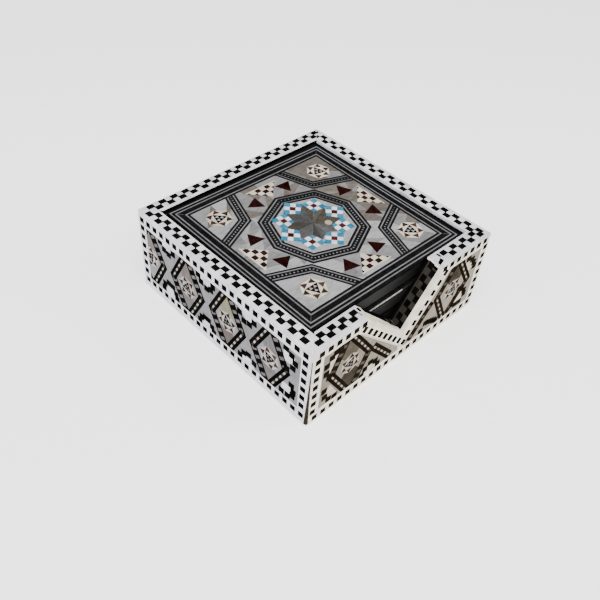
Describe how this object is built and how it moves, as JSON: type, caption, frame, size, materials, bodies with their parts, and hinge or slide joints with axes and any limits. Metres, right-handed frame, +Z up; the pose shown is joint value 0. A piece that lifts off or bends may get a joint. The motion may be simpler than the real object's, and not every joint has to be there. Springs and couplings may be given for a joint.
{
  "type": "inlaid coaster box",
  "caption": "Square open-topped box with shell and wood inlay and a V-shaped finger notch in its front wall, holding a stack of loose square inlaid coasters.",
  "frame": {"origin": "on the table, under the middle of the box", "axes": "+Z up; the finger notch faces -Y; +X to the right when looking at the notch from the front"},
  "size_m": [0.123, 0.123, 0.049],
  "materials": {
    "pearl_inlay": "lacquered mosaic of shell, bone and black wood",
    "carcass_wood": "plain",
    "black_wood": "black satin",
    "black_velvet": "matte",
    "green_felt": "matte"
  },
  "bodies": {
    "holder": {"base_felt": "green_felt", "base_board": "carcass_wood", "wall_left": "carcass_wood", "wall_front": "carcass_wood", "wall_right": "carcass_wood", "wall_back": "carcass_wood", "panel_left": "pearl_inlay", "panel_front": "pearl_inlay", "panel_right": "pearl_inlay", "panel_back": "pearl_inlay", "rim_left": "pearl_inlay", "rim_front_left": "pearl_inlay", "rim_front_right": "pearl_inlay", "rim_right": "pearl_inlay", "rim_back": "pearl_inlay", "notch_strip_left": "pearl_inlay", "notch_strip_right": "pearl_inlay", "lining_left": "black_velvet", "lining_front": "black_velvet", "lining_right": "black_velvet", "lining_back": "black_velvet", "lining_base": "black_velvet"},
    "coaster_1": {"coaster_1_felt": "black_velvet", "coaster_1_board": "black_wood", "coaster_1_inlay": "pearl_inlay"},
    "coaster_2": {"coaster_2_felt": "black_velvet", "coaster_2_board": "black_wood", "coaster_2_inlay": "pearl_inlay"},
    "coaster_3": {"coaster_3_felt": "black_velvet", "coaster_3_board": "black_wood", "coaster_3_inlay": "pearl_inlay"},
    "coaster_4": {"coaster_4_felt": "black_velvet", "coaster_4_board": "black_wood", "coaster_4_inlay": "pearl_inlay"}
  },
  "joints": [
    {"name": "coaster_1_lift", "type": "slide", "parent": "holder", "child": "coaster_1", "axis": [0, 0, 1], "range_m": [0, 0.052]},
    {"name": "coaster_2_lift", "type": "slide", "parent": "coaster_1", "child": "coaster_2", "axis": [0, 0, 1], "range_m": [0, 0.042]},
    {"name": "coaster_3_lift", "type": "slide", "parent": "coaster_2", "child": "coaster_3", "axis": [0, 0, 1], "range_m": [0, 0.032]},
    {"name": "coaster_4_lift", "type": "slide", "parent": "coaster_3", "child": "coaster_4", "axis": [0, 0, 1], "range_m": [0, 0.022]}
  ]
}
